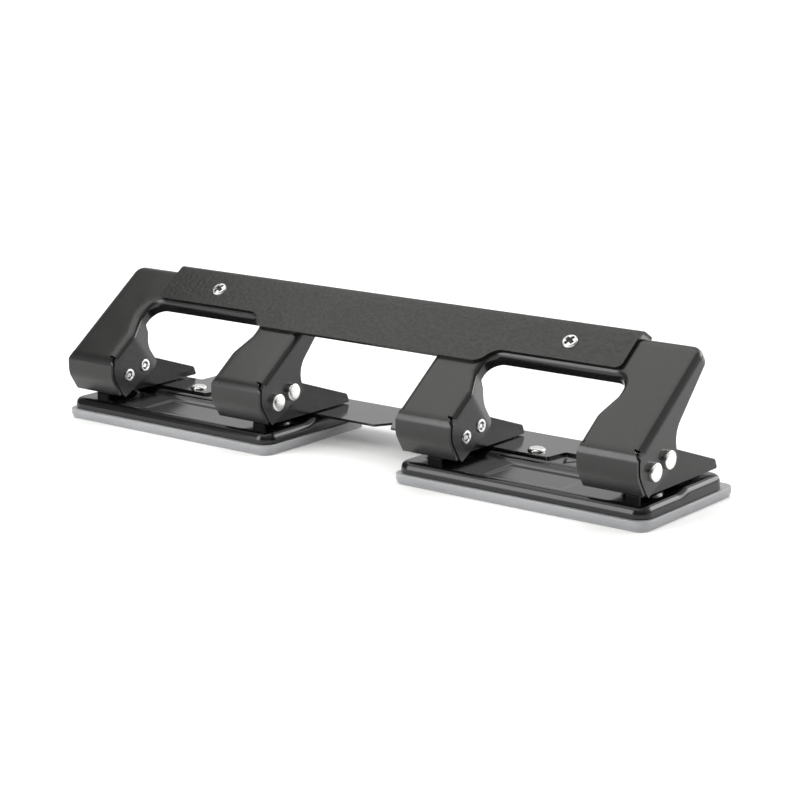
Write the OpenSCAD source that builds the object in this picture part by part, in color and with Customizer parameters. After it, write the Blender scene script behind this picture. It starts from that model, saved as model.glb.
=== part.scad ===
// Four-hole paper punch: two pressed steel two-hole punches side by side.
// A tie bar joins their levers and a flat paper table joins their bases.
// X runs along the row of holes, Y from the user to the paper, Z is up.

/* [Set] */
// Distance between the centres of the two punches
unit_pitch = 160; // [140:1:200]
// Distance between the two holes of one punch
hole_pitch = 80; // [76:1:84]

/* [Chip tray] */
// Length of a tray along the row of holes
tray_w = 103; // [102:0.5:110]
// Depth of a tray from front to back
tray_d = 59; // [57:0.5:66]
// Distance from the hole line forward to the front of a tray
tray_front = 17.1; // [16.5:0.1:20]
// Height of the tray's rim
tray_h = 3.7; // [3:0.1:6]
// Radius of the tray's upright corners
tray_corner_r = 5; // [3:0.5:8]
// Radius along the tray's bottom edge
tray_edge_r = 0.8; // [0.3:0.1:1.5]
// Thickness of the tray's floor
tray_floor = 1.2; // [0.8:0.1:2]
// Thickness of the lip that grips inside the pan
tray_lip_t = 1.2; // [0.8:0.1:2]
// Clearance of that lip inside the pan's skirt
tray_lip_gap = 0.35; // [0.3:0.05:0.5]
// Clearance between the tray's rim and the foot of the pan
tray_seat = 0.3; // [0.3:0.05:0.5]
// Height of that lip above the rim
tray_lip_h = 1.8; // [1:0.1:2.2]

/* [Base pan] */
// Length of a pan at its skirt
pan_w = 101.2; // [98:0.1:102]
// Depth of a pan at its skirt
pan_d = 52; // [50:0.5:53]
// Distance from the hole line forward to the skirt
pan_front = 15.7; // [15.6:0.1:16.4]
// Radius of the pan's upright corners
pan_corner_r = 5; // [3:0.5:8]
// Thickness of the pan's sheet
pan_t = 1; // [0.8:0.1:1.2]
// Height of the front table above the skirt's foot
table_h = 3.9; // [3.5:0.1:8]
// How far the skirt leans in over its height
skirt_taper = 1.2; // [0.5:0.1:1.6]
// Radius where the skirt turns into the table
pan_edge_r = 2.2; // [1.2:0.1:2.4]
// Rise from the front table to the rear table
step_h = 1.05; // [0.8:0.05:1.5]
// Distance from the hole line back to the foot of that rise
step_start = 7; // [6.6:0.1:8]
// Length over which it rises
step_run = 5.4; // [4:0.1:6]
// Radius of the two bends of the rise
step_r = 3; // [1:0.5:4]
// Width of the shallow paper recess
recess_w = 32; // [20:1:44]
// Depth of the recess
recess_deep = 0.45; // [0.3:0.05:0.6]
// Distance from the hole line forward to the recess's front
recess_front = 11.6; // [10:0.1:12]
// Distance from the hole line back to the recess's rear
recess_rear = 5.2; // [4:0.1:6]
// Width of the bevel round the recess
recess_bevel = 1.8; // [1:0.1:2]
// Diameter of the raised pad round a die hole
pad_d = 12; // [11:0.5:12.5]
// Width of the slope round a pad
pad_slope = 1.2; // [0.6:0.1:1.2]
// How far the pad's top lies below the paper table's top
pad_drop = 0.35; // [0.2:0.05:0.6]
// Clearance of a die hole round its cutter
die_gap = 0.06; // [0.03:0.01:0.1]
// Distance from the hole line back to the point of the centre mark
mark_y = 13.7; // [13:0.1:15]
// Length of each arm of the centre mark
mark_arm = 6; // [4:0.5:7]
// Half the angle between its arms
mark_angle = 28; // [20:1:40]
// Width of the cut of the mark
mark_cut = 0.6; // [0.4:0.1:1]

/* [Punch bracket] */
// Distance from a hole to the outer face of the bracket's wall on its leg's outer side
bracket_out = 7.5; // [7:0.5:8]
// Distance from a hole to the outer face of the bracket's other wall
bracket_in = 8.5; // [7:0.5:9]
// Thickness of a bracket's sheet
bracket_t = 1.2; // [0.9:0.1:1.4]
// Height of the paper slot over the paper table
slot_h = 0.5; // [0.4:0.1:0.9]
// Distance from the hole line forward to the bracket's front
bracket_front = 13.3; // [13:0.1:13.6]
// How far the front of the bracket's floor lies behind the front of its walls
floor_back = 2.8; // [2:0.1:3.2]
// Height over which the walls' front slants back to the floor
front_slant = 4.4; // [3:0.1:5]
// Distance from the hole line back to the end of the beak
beak_reach = 35.5; // [28:0.5:38]
// How far the beak's end slants back over its height
beak_slant = 1.4; // [0.5:0.1:3]
// Height of the beak's end over the slot
beak_end_h = 3.4; // [2.8:0.1:4.5]
// Height of the side wall above the pivot
cheek_h = 7.8; // [6.6:0.1:7.9]
// Distance from the hole line forward to where its top edge starts to fall
cheek_back = 3.4; // [2:0.1:5]
// Radius of the cheek's corners
cheek_r = 3; // [2:0.5:4]
// Radius of the beak's upper corner
beak_r = 1.6; // [1:0.1:2]
// Radius of the beak's lower corner
beak_low_r = 0.5; // [0.3:0.1:1]
// Width of each fixing tab
tab_w = 1.9; // [1.5:0.1:2.2]
// Distance between the two fixing tabs
tab_pitch = 3.2; // [3:0.1:4]
// Distance from a hole to the right to the middle of its paper stop
stop_shift = 4.3; // [2:0.1:4.6]
// How far a tab stands out below the pan
tab_out = 0.8; // [0.5:0.1:1]
// Clearance round a tab in its slot
tab_gap = 0.1; // [0.05:0.05:0.2]

/* [Lever] */
// Height of the pivot above the front table
pivot_h = 10.8; // [10.4:0.1:11.5]
// Distance from the hole line forward to the pivot
pivot_front = 8.7; // [8.6:0.05:8.8]
// Slope of the lever's face at rest
face_tilt = 36.6; // [34:0.2:39]
// Distance along the face from the bend up to the pivot
pivot_s = 5.6; // [5:0.1:6.5]
// Distance from the face in to the pivot
pivot_deep = 11.1; // [10.8:0.1:12]
// Length of the face from the bend to the ridge
face_len = 52.3; // [51:0.1:56]
// Thickness of the lever's sheet
lever_t = 1.2; // [1:0.1:1.4]
// Outer radius of the lever's folds
fold_r = 3; // [2.2:0.1:4]
// Width of a leg
leg_w = 23.8; // [21.5:0.1:26]
// Clearance between a bracket and a leg
leg_gap = 0.4; // [0.25:0.05:0.6]
// Outer radius of the bend between the face and the skirt
bend_r = 5.5; // [3:0.5:6]
// Distance from the pivot forward to the skirt
skirt_front = 9.2; // [9:0.1:9.8]
// Height of the skirt's upright part below the bend's corner
skirt_upright = 7.5; // [7:0.1:7.8]
// Turn of the skirt's lower part towards the rear
knee_turn = 32; // [26:1:38]
// Outer radius of that turn
knee_r = 8; // [4:0.5:8]
// Length of the skirt's lower part
skirt_low = 8.1; // [6.5:0.1:8.2]
// How far the skirt's side edges lie inside the flanges
skirt_inset = 0.8; // [0.4:0.1:1]
// How far the flanges' front edges lie behind the skirt's inner face
flange_back = 1; // [0.6:0.1:1.4]
// Depth of the side flange at the ridge
flange_top = 5; // [4.4:0.1:6]
// Depth that the side flange reaches before it widens
flange_mid = 11.1; // [9:0.1:12]
// Distance along the face to the flange's rear edge
flange_rear = 19.7; // [19:0.1:22]
// Depth of the flange at its lower rear corner
flange_deep = 19.4; // [18.6:0.1:20]
// Depth of the flange at its lower tip
tip_deep = 16.4; // [15.5:0.1:16.6]
// Radius of the flange's lower corners
tip_r = 1; // [0.5:0.1:1.5]
// Distance from the bend down to that tip
tip_s = 1.1; // [0.6:0.1:1.6]
// Radius between the narrow and the wide part of the flange
flange_r = 9; // [4:0.5:9]
// Radius of the lever's upper corners, seen on its face
lever_corner_r = 4.5; // [4:0.5:8]
// Distance along the face to the inner wall's rear edge
wall_rear = 20.7; // [19.5:0.1:22]
// Depth of a leg's inner wall where it starts to run into the lip
wall_shoulder = 8.4; // [7:0.1:9.5]
// Distance along the face to that place
wall_shoulder_s = 25.4; // [24:0.1:27]
// Distance along the face to where the inner wall has become the lip
wall_end_s = 26.6; // [26:0.1:29]
// Radius of the inner wall's concave corner
wall_r = 5; // [2:0.5:5]
// Radius where the inner wall meets the lip
lip_r = 1; // [0.5:0.1:1.5]
// Outer radius of the bend round the window's rim
rim_r = 2.6; // [1.6:0.1:3]
// Radius where the window starts and stops widening
flare_r = 6; // [3:0.5:8]
// Depth of the lip round the finger window
lip_deep = 5.3; // [3.6:0.1:6]
// Distance from the lever's ridge down to the top of the window
window_drop = 17.6; // [17:0.1:18.8]
// How much wider the window is at the top, on each side
window_flare = 3.4; // [0:0.1:5]
// Distance from the window's top down to where it is widest
flare_drop = 8.7; // [8.2:0.1:9.5]
// Length over which it widens
flare_run = 9; // [7:0.5:11]
// Radius of the window's upper corners
window_r = 6; // [3:0.5:7]

/* [Tie bar] */
// Length of the tie bar past the outer screws' centres, at each end
bar_over = 25; // [18:0.5:28]
// Thickness of the bar
bar_t = 1.2; // [1:0.1:2]
// Distance from the lever's ridge down to the bar's lower edge on a lever
bar_drop = 16.3; // [14.5:0.1:17]
// Distance from the ridge down to its lower edge in the middle
bar_mid_drop = 22.7; // [20:0.1:26]
// Half the length of the wide middle part
bar_mid_half = 50.7; // [40:0.1:52]
// Length over which it widens
bar_widen = 3.9; // [2:0.1:6]
// Radius of the two curves between its wide and narrow parts
bar_curve_r = 6; // [3:0.5:6]
// Radius of the bar's corners
bar_r = 2.5; // [1:0.1:3]
// Outer radius of the bar's fold
bar_fold_r = 2.5; // [2.1:0.1:3.5]
// Length of the folded rear flange
bar_flange = 6.2; // [4:0.1:8]
// How far that flange opens past square
bar_open = 22.6; // [15:0.5:30]
// Clearance over the levers' ridge
ridge_gap = 0.6; // [0.4:0.1:1]
// Distance from the lever's ridge down to the screws
screw_drop = 8.3; // [7:0.1:9.5]
// How far a screw lies to the right of its punch's centre
screw_shift = 1; // [0:0.1:1.5]

/* [Screws, pins and rivets] */
// Diameter of a screw's shank
screw_d = 3; // [2.6:0.1:3.4]
// Diameter of a screw's head
screw_head_d = 6; // [5.4:0.1:7]
// Height of a screw's head
screw_head_h = 1.1; // [0.9:0.1:2]
// Width of the arms of the cross recess
cross_w = 0.9; // [0.6:0.1:1.2]
// Length across the cross recess
cross_len = 3.4; // [2.4:0.1:4]
// Width of a nut across its flats
nut_w = 5.5; // [5:0.1:6.5]
// Height of a nut
nut_h = 2.4; // [2:0.1:2.8]
// Share of a head that its rounded edge takes
dome_share = 0.7; // [0.3:0.05:0.9]
// Clearance round a shank in its hole
shank_gap = 0.05; // [0.03:0.01:0.15]
// Diameter of the pivot and drive pins
pin_d = 4; // [3.4:0.1:4.2]
// Diameter of a pin's head
pin_head_d = 6.4; // [5.6:0.1:7]
// Height of a pin's head
pin_head_h = 2; // [1.5:0.1:2.6]
// Diameter of a pin's riveted ring
pin_ring_d = 4.8; // [4.5:0.1:6]
// Height of that ring
pin_ring_h = 0.5; // [0.3:0.1:1]
// Diameter of the bore in a pin's riveted end
pin_bore_d = 2.2; // [1.6:0.1:2.8]
// Diameter of a table rivet's head
rivet_head_d = 6.4; // [5.6:0.1:7.5]
// Height of a table rivet's head
rivet_head_h = 1.4; // [1:0.1:2]
// Diameter of a table rivet's shank
rivet_d = 3.6; // [3:0.1:4]
// Height of its closed end below the pan
rivet_tail_h = 0.9; // [0.6:0.1:1.2]

/* [Cutter and spring] */
// Diameter of a cutter, and so of the paper hole
cutter_d = 6; // [5.5:0.1:6.5]
// Height of a cutter's tip above the paper slot at rest
tip_rest = 0.1; // [0:0.1:0.8]
// Depth of the hollow that gives the tip its edge
edge_hollow = 0.8; // [0.4:0.1:1]
// Distance from the pivot to the drive pin
drive_r = 8.86; // [8.8:0.01:8.9]
// Angle of the drive pin above the pivot at rest
drive_angle = 15.6; // [14:0.1:17]
// Travel of the lever from rest to the end of the stroke
press_angle = 28; // [24:0.5:30]
// Clearance beside the drive pin in the cutter's saddle
saddle_gap = 0.25; // [0.2:0.01:0.3]
// Clearance round a pivot pin and round a cutter in their bores in a bracket
running_gap = 0.05; // [0.02:0.01:0.1]
// Clearance round a drive pin in a bracket's arc slot
arc_gap = 0.35; // [0.3:0.05:0.5]
// Clearance under the drive pin in the saddle
saddle_floor_gap = 0.1; // [0.05:0.01:0.15]
// Height of the saddle's horns above the drive pin's centre
horn_h = 1; // [0.5:0.1:1.4]
// Diameter of the retaining clip
clip_d = 10; // [9.6:0.1:10.6]
// Thickness of the clip
clip_t = 0.6; // [0.5:0.05:0.7]
// Diameter of the groove that the clip sits in
clip_groove_d = 4.6; // [4.2:0.1:4.8]
// Distance from the saddle's floor down to the clip
clip_drop = 0.8; // [0.6:0.1:1.2]
// Clearance of the clip in its groove
clip_gap = 0.05; // [0.03:0.01:0.1]
// Diameter of the spring's wire
wire_d = 0.6; // [0.5:0.05:0.7]
// Diameter of the conical spring under its clip, at the middle of the wire
spring_top_d = 7.6; // [7.4:0.1:8.2]
// Diameter of its wide foot, at the middle of the wire
spring_foot_d = 11; // [10:0.1:11.2]
// Turns of the spring
spring_turns = 3; // [2:0.5:3.5]
// Clearance at each end of the spring
spring_gap = 0.05; // [0.02:0.01:0.1]

/* [Paper table] */
// Thickness of the table's sheet
sheet_t = 0.9; // [0.8:0.05:1.2]
// Distance from the hole line back to the table's front edge
sheet_front = 14.5; // [14:0.1:16]
// Distance from the hole line back to its rear edge
sheet_rear = 40.6; // [38:0.1:43]
// Distance back to the rear edge of its narrow ends
sheet_end_rear = 31.3; // [28:0.1:34]
// Distance from an outer hole back to where a narrow end starts
sheet_end_start = 15.4; // [12:0.1:20]
// Distance from an outer hole on to the table's end
sheet_over = 4; // [2:0.1:6]
// Width of the notch over a punch's centre mark
notch_w = 14.4; // [12:0.1:18]
// Depth of that notch
notch_d = 9; // [7:0.1:12]
// Width of the middle notch
middle_notch_w = 7.6; // [5:0.1:12]
// How much narrower a centre-mark notch is at its back, on each side
notch_taper = 1.4; // [0.5:0.1:2.5]
// Radius of the notches' corners
notch_r = 0.8; // [0.4:0.1:1.5]
// Depth of the middle notch
middle_notch_d = 6.2; // [4:0.1:9]
// Radius of the table's outer corners
sheet_r = 1.5; // [0.5:0.1:3]
// Distance from a punch's centre to the table's rivet
rivet_x = 15.2; // [12:0.1:17]
// Distance from the hole line back to the rivet
rivet_y = 19.3; // [18.6:0.1:22]

/* [Hidden] */
$fn = 40;

// Overrun of a cut past the faces that it goes through
over = 2;
// Reach of a cut that goes right through the lever
far = 2 * face_len;
// Thickness of the thin slabs that a hull is drawn over
skin = 0.01;
// Turn in degrees that one facet of a rounded corner covers
arc_step = 15;
// Slanted steps in the bend round a window's rim
rim_steps = 3;

// Heights of the surfaces, from the resting face up
pan_foot_z = tray_h + tray_seat;
table_z = pan_foot_z + table_h;
rear_z = table_z + step_h;
sheet_z = rear_z + sheet_t;
pad_z = sheet_z - pad_drop;
slot_z = sheet_z + slot_h;
guide_z = slot_z + bracket_t;
pivot_z = table_z + pivot_h;

// The lever's face as a frame: s runs up the face from its foot, depth runs in from it
face_up = [cos(face_tilt), sin(face_tilt)];
face_in = [sin(face_tilt), -cos(face_tilt)];
pivot = [-pivot_front, pivot_z];
foot = pivot - pivot_s * face_up - pivot_deep * face_in;
skirt_down = [sin(knee_turn), -cos(knee_turn)];
bend_s = (pivot[0] - skirt_front - foot[0]) / face_up[0];
bend = foot + bend_s * face_up;
knee = bend - [0, skirt_upright];
skirt_end = knee + skirt_low * skirt_down;
drive = pivot + drive_r * [cos(drive_angle), sin(drive_angle)];
drive_end = pivot + drive_r * [cos(drive_angle - press_angle), sin(drive_angle - press_angle)];
cutter_travel = drive[1] - drive_end[1];

// Places along the face, from the ridge down
screw_s = face_len - screw_drop;
bar_low = face_len - bar_drop;
bar_mid_low = face_len - bar_mid_drop;
window_top = face_len - window_drop;
flare_end = window_top - flare_drop;
flare_start = flare_end - flare_run;

// Widths of a lever, from the holes outwards
lever_half = hole_pitch / 2 + bracket_out + leg_gap + lever_t;
leg_in = lever_half - leg_w;

// Y of the middle of the whole object's box, which the frame's origin sits under
front_y = bend[0];
back_y = tray_d - tray_front;
middle_y = (front_y + back_y) / 2;

// Unit vector along v
function unit(v) = v / norm(v);

// Point on or behind the lever's face
function on_face(s, deep) = foot + s * face_up + deep * face_in;

// Corner b of the outline a-b-c moved inwards by t from both of its edges
function inner_corner(a, b, c, t) =
    let (u = unit(a - b), v = unit(c - b), half = acos(u * v) / 2)
    b + unit(u + v) * t / sin(half);

// Arc that rounds corner b of the outline a-b-c with radius r
function corner_arc(a, b, c, r) =
    let (u = unit(a - b), v = unit(c - b), half = acos(u * v) / 2,
        m = b + unit(u + v) * r / sin(half),
        p = b + u * r / tan(half) - m, q = b + v * r / tan(half) - m,
        start = atan2(p[1], p[0]), turn = atan2(p[0] * q[1] - p[1] * q[0], p * q),
        steps = max(2, ceil(abs(turn) / arc_step)))
    [for (i = [0 : steps]) m + r * [cos(start + turn * i / steps), sin(start + turn * i / steps)]];

// Outline through corners [x, y, radius]
function rounded(corners) =
    let (n = len(corners))
    [for (i = [0 : n - 1])
        let (at = corners[i], a = corners[(i + n - 1) % n], c = corners[(i + 1) % n],
            here = [at[0], at[1]])
        each (at[2] > 0 ? corner_arc([a[0], a[1]], here, [c[0], c[1]], at[2]) : [here])];

// Corners of a rectangle with four equal radii
function box_corners(x0, x1, y0, y1, r) = [[x0, y0, r], [x1, y0, r], [x1, y1, r], [x0, y1, r]];

// Corner [x, y] with its radius
function corner(p, r) = [p[0], p[1], r];

// Moves a piece from the hole line's datum into the object's frame
module in_frame() {
    translate([0, -middle_y, 0]) children();
}

// Extrudes a side outline, drawn in Y and Z, along X
module along_x(x0, x1) {
    translate([x0, 0, 0]) rotate([90, 0, 90]) linear_extrude(x1 - x0) children();
}

// Frame of the lever's face: X, up the face, and out of it
module face_frame() {
    translate([0, foot[0], foot[1]]) rotate([face_tilt, 0, 0]) children();
}

// Cylinder along X between two places
module rod_x(r, x0, x1, at) {
    translate([x0, at[0], at[1]]) rotate([0, 90, 0]) cylinder(r = r, h = x1 - x0);
}

function unit_x(i) = (i - 0.5) * unit_pitch;
function hole_x(k) = unit_x(floor(k / 2)) + side(k) * hole_pitch / 2;
function side(k) = k % 2 == 0 ? -1 : 1;

// Chip tray: a flat plastic tray whose lip grips inside the pan

module tray_outline(inset) {
    polygon(rounded(box_corners(-tray_w / 2 + inset, tray_w / 2 - inset,
        -tray_front + inset, back_y - inset, tray_corner_r - inset)));
}

module pan_outline(inset) {
    polygon(rounded(box_corners(-pan_w / 2 + inset, pan_w / 2 - inset,
        -pan_front + inset, pan_d - pan_front - inset, pan_corner_r - inset)));
}

module chip_tray(i) {
    lip_top = pan_foot_z + tray_lip_h;
    lip_inset = pan_t + skirt_taper + tray_lip_gap;
    color("gainsboro") in_frame() translate([unit_x(i), 0, 0]) difference() {
        union() {
            translate([0, 0, tray_edge_r]) linear_extrude(tray_h - tray_edge_r) tray_outline(0);
            linear_extrude(tray_edge_r) tray_outline(tray_edge_r);
            linear_extrude(lip_top) pan_outline(lip_inset);
        }
        translate([0, 0, tray_floor]) linear_extrude(lip_top) pan_outline(lip_inset + tray_lip_t);
    }
}

// Base pan: one pressed sheet with a skirt, a recess and two die pads

module pan_slab(z, inset) {
    translate([0, 0, z - skin]) linear_extrude(skin) pan_outline(inset);
}

module pan_solid(top, t) {
    low_z = t > 0 ? pan_foot_z - over : pan_foot_z + skin;
    hull() {
        pan_slab(low_z, t);
        pan_slab(table_z - pan_edge_r, skirt_taper + t);
        for (turn = [0 : 30 : 90])
            pan_slab(top - t - (pan_edge_r - t) * (1 - sin(turn)),
                skirt_taper + t + (pan_edge_r - t) * (1 - cos(turn)));
    }
}

module step_side(t) {
    polygon(rounded([[step_start, 0, 0], [step_start, table_z - t, 0],
        [step_start + step_run, rear_z - t, step_r], [pan_d, rear_z - t, 0], [pan_d, 0, 0]]));
}

module pan_skin(t) {
    pan_solid(table_z, t);
    intersection() {
        pan_solid(rear_z, t);
        along_x(-pan_w, pan_w) step_side(t);
    }
}

module recess_slab(z, inset, h) {
    translate([-recess_w / 2 + inset, -recess_front + inset, z])
        cube([recess_w - 2 * inset, recess_front + recess_rear - 2 * inset, h]);
}

module recess_solid(rise) {
    hull() {
        recess_slab(table_z - recess_deep, recess_bevel, skin);
        recess_slab(table_z, 0, rise);
    }
}

module pad_solid(foot_h) {
    for (j = [-1, 1]) translate([j * hole_pitch / 2, 0, table_z]) {
        cylinder(r1 = pad_d / 2 + pad_slope, r2 = pad_d / 2, h = pad_z - table_z);
        translate([0, 0, -foot_h]) cylinder(r = pad_d / 2 + pad_slope, h = foot_h);
    }
}

module tab_boxes(gap, drop) {
    for (j = [-1, 1], m = [-1, 1])
        translate([j * hole_pitch / 2 + stop_shift + m * tab_pitch / 2 - tab_w / 2 - gap,
            -bracket_front - gap, table_z - pan_t - drop])
            cube([tab_w + 2 * gap, bracket_t + 2 * gap, pan_t + drop]);
}

module centre_mark() {
    for (j = [-1, 1]) translate([0, mark_y, table_z]) rotate([0, 0, j * mark_angle])
        translate([-mark_cut / 2, 0, -over]) cube([mark_cut, mark_arm, 2 * over]);
}

module base(i) {
    color([0.06, 0.06, 0.065]) in_frame() translate([unit_x(i), 0, 0]) difference() {
        union() {
            difference() {
                pan_skin(0);
                pan_skin(pan_t);
            }
            translate([0, 0, -pan_t]) recess_solid(skin);
            pad_solid(pan_t);
        }
        recess_solid(over);
        translate([0, 0, -pan_t]) pad_solid(over);
        for (j = [-1, 1]) translate([j * hole_pitch / 2, 0, 0])
            cylinder(r = cutter_d / 2 + die_gap, h = sheet_z);
        tab_boxes(tab_gap, over);
        translate([0, 0, over]) tab_boxes(tab_gap, over);
        centre_mark();
        translate([-rivet_x, rivet_y, 0]) cylinder(r = rivet_d / 2 + shank_gap, h = sheet_z);
    }
}

// Punch bracket: a folded channel that guides the cutter and ends in a beak over the paper

module bracket_side() {
    polygon(rounded([[-bracket_front + floor_back, slot_z, 0], [beak_reach, slot_z, beak_low_r],
        [beak_reach - beak_slant, slot_z + beak_end_h, beak_r],
        [-cheek_back, pivot_z + cheek_h, cheek_r],
        [-bracket_front, pivot_z + cheek_h, cheek_r],
        [-bracket_front, slot_z + front_slant, cheek_r]]));
}

module arc_slot() {
    r = pin_d / 2 + arc_gap;
    a0 = drive_angle - press_angle;
    steps = ceil(press_angle / 2);
    reach = bracket_in + over;
    rod_x(r, -reach, reach, drive);
    rod_x(r, -reach, reach, drive_end);
    along_x(-reach, reach) polygon([
        each [for (i = [0 : steps]) let (a = a0 + press_angle * i / steps)
            pivot + (drive_r + r) * [cos(a), sin(a)]],
        each [for (i = [0 : steps]) let (a = drive_angle - press_angle * i / steps)
            pivot + (drive_r - r) * [cos(a), sin(a)]]]);
}

// Paper stop: a tongue from the bracket's floor, bent down to the pan
module paper_stop() {
    half = (tab_pitch + tab_w) / 2;
    rear = -bracket_front + floor_back + bracket_t;
    along_x(-half, half) polygon(rounded([[-bracket_front, table_z, 0],
        [-bracket_front, guide_z, bracket_t], [rear, guide_z, 0], [rear, slot_z, 0],
        [-bracket_front + bracket_t, slot_z, 0], [-bracket_front + bracket_t, table_z, 0]]));
    for (m = [-1, 1])
        translate([m * tab_pitch / 2 - tab_w / 2, -bracket_front, table_z - pan_t - tab_out])
            cube([tab_w, bracket_t, pan_t + tab_out + bracket_t]);
}

module punch_bracket(k) {
    color([0.09, 0.09, 0.095]) in_frame() translate([hole_x(k), 0, 0]) scale([side(k), 1, 1]) union() {
        difference() {
            along_x(-bracket_in, bracket_out) bracket_side();
            translate([-bracket_in + bracket_t, -bracket_front - over, guide_z])
                cube([bracket_in + bracket_out - 2 * bracket_t,
                    beak_reach + bracket_front + 2 * over, far]);
            cylinder(r = cutter_d / 2 + running_gap, h = pivot_z);
            rod_x(pin_d / 2 + running_gap, -bracket_in - over, bracket_out + over, pivot);
            arc_slot();
        }
        translate([side(k) * stop_shift, 0, 0]) paper_stop();
    }
}

// Lever: one pressed shell with two legs round a finger window

ridge = on_face(face_len, 0);
bend_start_s = bend_s + bend_r * tan((90 - face_tilt) / 2);

// Corners of the skirt's side outline, moved inwards by t and run on past its end by more
function skirt_corners(t, more) = [
    corner(inner_corner(ridge, bend, knee, t), max(bend_r - t, 0)),
    corner(inner_corner(bend, knee, skirt_end, t), max(knee_r - t, 0)),
    corner(skirt_end - t * [skirt_down[1], -skirt_down[0]] + more * skirt_down, 0)];
skirt_edge = [skirt_corners(lever_t, 0)[2]];

module lever_side() {
    polygon(rounded(concat([corner(ridge, fold_r)], skirt_corners(0, 0), skirt_edge, [
        corner(on_face(-tip_s, tip_deep), tip_r),
        corner(on_face(flange_rear, flange_deep), tip_r),
        corner(on_face(flange_rear, flange_mid), flange_r),
        corner(on_face(face_len, flange_top), 0)])));
}

module wall_side() {
    polygon(rounded(concat([corner(ridge, fold_r)], skirt_corners(0, 0), skirt_edge, [
        corner(on_face(-tip_s, tip_deep), tip_r),
        corner(on_face(wall_rear, flange_deep), tip_r),
        corner(on_face(wall_rear, flange_mid), wall_r),
        corner(on_face(wall_shoulder_s, wall_shoulder), lip_r),
        corner(on_face(wall_end_s, lip_deep), lip_r),
        corner(on_face(face_len, lip_deep), 0)])));
}

module lever_inner_side() {
    polygon(rounded(concat([corner(on_face(face_len - lever_t, lever_t), fold_r - lever_t)],
        skirt_corners(lever_t, far), [corner(on_face(face_len - lever_t, far), 0)])));
}

// Side outline of what lies between depths t0 and t1 behind the skirt's outer face
module skirt_band(t0, t1) {
    front = skirt_corners(t0, over);
    rear = skirt_corners(t1, over);
    polygon(rounded([corner(on_face(bend_start_s, t0), 0), front[0], front[1], front[2],
        rear[2], rear[1], rear[0], corner(on_face(bend_start_s, t1), 0)]));
}

module lever_plan(t) {
    half = lever_half - t;
    polygon(rounded([[-half, -far, 0], [half, -far, 0],
        [half, face_len - t, lever_corner_r - t], [-half, face_len - t, lever_corner_r - t]]));
}

module edge_prism(t) {
    half = lever_half - t;
    translate([0, far, 0]) rotate([90, 0, 0]) linear_extrude(2 * far)
        polygon(rounded([[-half, -far, 0], [half, -far, 0],
            [half, -t, fold_r - t], [-half, -t, fold_r - t]]));
}

module lever_block(t) {
    intersection() {
        along_x(-lever_half + t, lever_half - t) {
            if (t > 0) lever_inner_side();
            else lever_side();
        }
        face_frame() translate([0, 0, -far]) linear_extrude(2 * far) lever_plan(t);
        face_frame() edge_prism(t);
    }
}

module window_plan(t) {
    low = leg_in + t;
    wide = leg_in + window_flare + t;
    polygon(rounded([[-low, -far, 0], [low, -far, 0], [low, flare_start, flare_r],
        [wide, flare_end, flare_r], [wide, window_top + t, window_r + t],
        [-wide, window_top + t, window_r + t], [-wide, flare_end, flare_r],
        [-low, flare_start, flare_r]]));
}

// The window's opening, grown by t, with the bend round its rim as slanted steps
module window_solid(t) {
    wide = leg_in + window_flare + t;
    middle = window_top + t - wide;
    r = rim_r - t;
    turn = 90 / rim_steps;
    face_frame() {
        translate([0, 0, -far]) linear_extrude(2 * far) window_plan(t);
        for (i = [0 : rim_steps - 1])
            let (k0 = 1 + r * (1 - cos(i * turn)) / wide, k1 = 1 + r * (1 - cos((i + 1) * turn)) / wide,
                z0 = -t - r * (1 - sin(i * turn)), z1 = -t - r * (1 - sin((i + 1) * turn)))
            translate([0, middle, z0]) linear_extrude(z1 - z0, scale = k1 / k0, slices = 1)
                scale([k0, k0]) translate([0, -middle]) window_plan(t);
        translate([0, middle, -t]) linear_extrude(over)
            scale([1 + r / wide, 1 + r / wide]) translate([0, -middle]) window_plan(t);
    }
}

module window_lip() {
    intersection() {
        lever_block(0);
        along_x(-lever_half, lever_half) wall_side();
        window_solid(lever_t);
    }
}

// Open seams between the skirt's side edges and the flanges
module skirt_seams() {
    for (j = [-1, 1]) scale([j, 1, 1]) {
        along_x(lever_half - skirt_inset, lever_half + over) skirt_band(-over, lever_t + flange_back);
        along_x(lever_half - lever_t - over, lever_half + over) skirt_band(lever_t, lever_t + flange_back);
        along_x(leg_in - over, leg_in + skirt_inset) skirt_band(-over, lever_t + flange_back);
        along_x(leg_in - over, leg_in + lever_t + over) skirt_band(lever_t, lever_t + flange_back);
    }
}

module lever(i) {
    color([0.08, 0.08, 0.085]) in_frame() translate([unit_x(i), 0, 0]) difference() {
        union() {
            difference() {
                lever_block(0);
                lever_block(lever_t);
            }
            window_lip();
        }
        window_solid(0);
        skirt_seams();
        rod_x(pin_d / 2 + shank_gap, -unit_pitch / 2, unit_pitch / 2, pivot);
        rod_x(pin_d / 2 + shank_gap, -unit_pitch / 2, unit_pitch / 2, drive);
        face_frame() translate([screw_shift, screw_s, -over])
            cylinder(r = screw_d / 2 + shank_gap, h = 2 * over);
    }
}

// Tie bar: a folded strip screwed on the faces of both levers

bar_half = unit_pitch / 2 + bar_over;
bar_corner = on_face(face_len + ridge_gap, 0);
bar_back = [cos(face_tilt - 90 + bar_open), sin(face_tilt - 90 + bar_open)];
bar_back_out = [-bar_back[1], bar_back[0]];
bar_outer = inner_corner(foot, bar_corner, bar_corner + bar_back, -bar_t);

module bar_side() {
    polygon(rounded([corner(on_face(0, 0), 0), corner(on_face(0, -bar_t), 0),
        corner(bar_outer, bar_fold_r),
        corner(bar_corner + bar_flange * bar_back + bar_t * bar_back_out, 0),
        corner(bar_corner + bar_flange * bar_back, 0), corner(bar_corner, bar_fold_r - bar_t)]));
}

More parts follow.
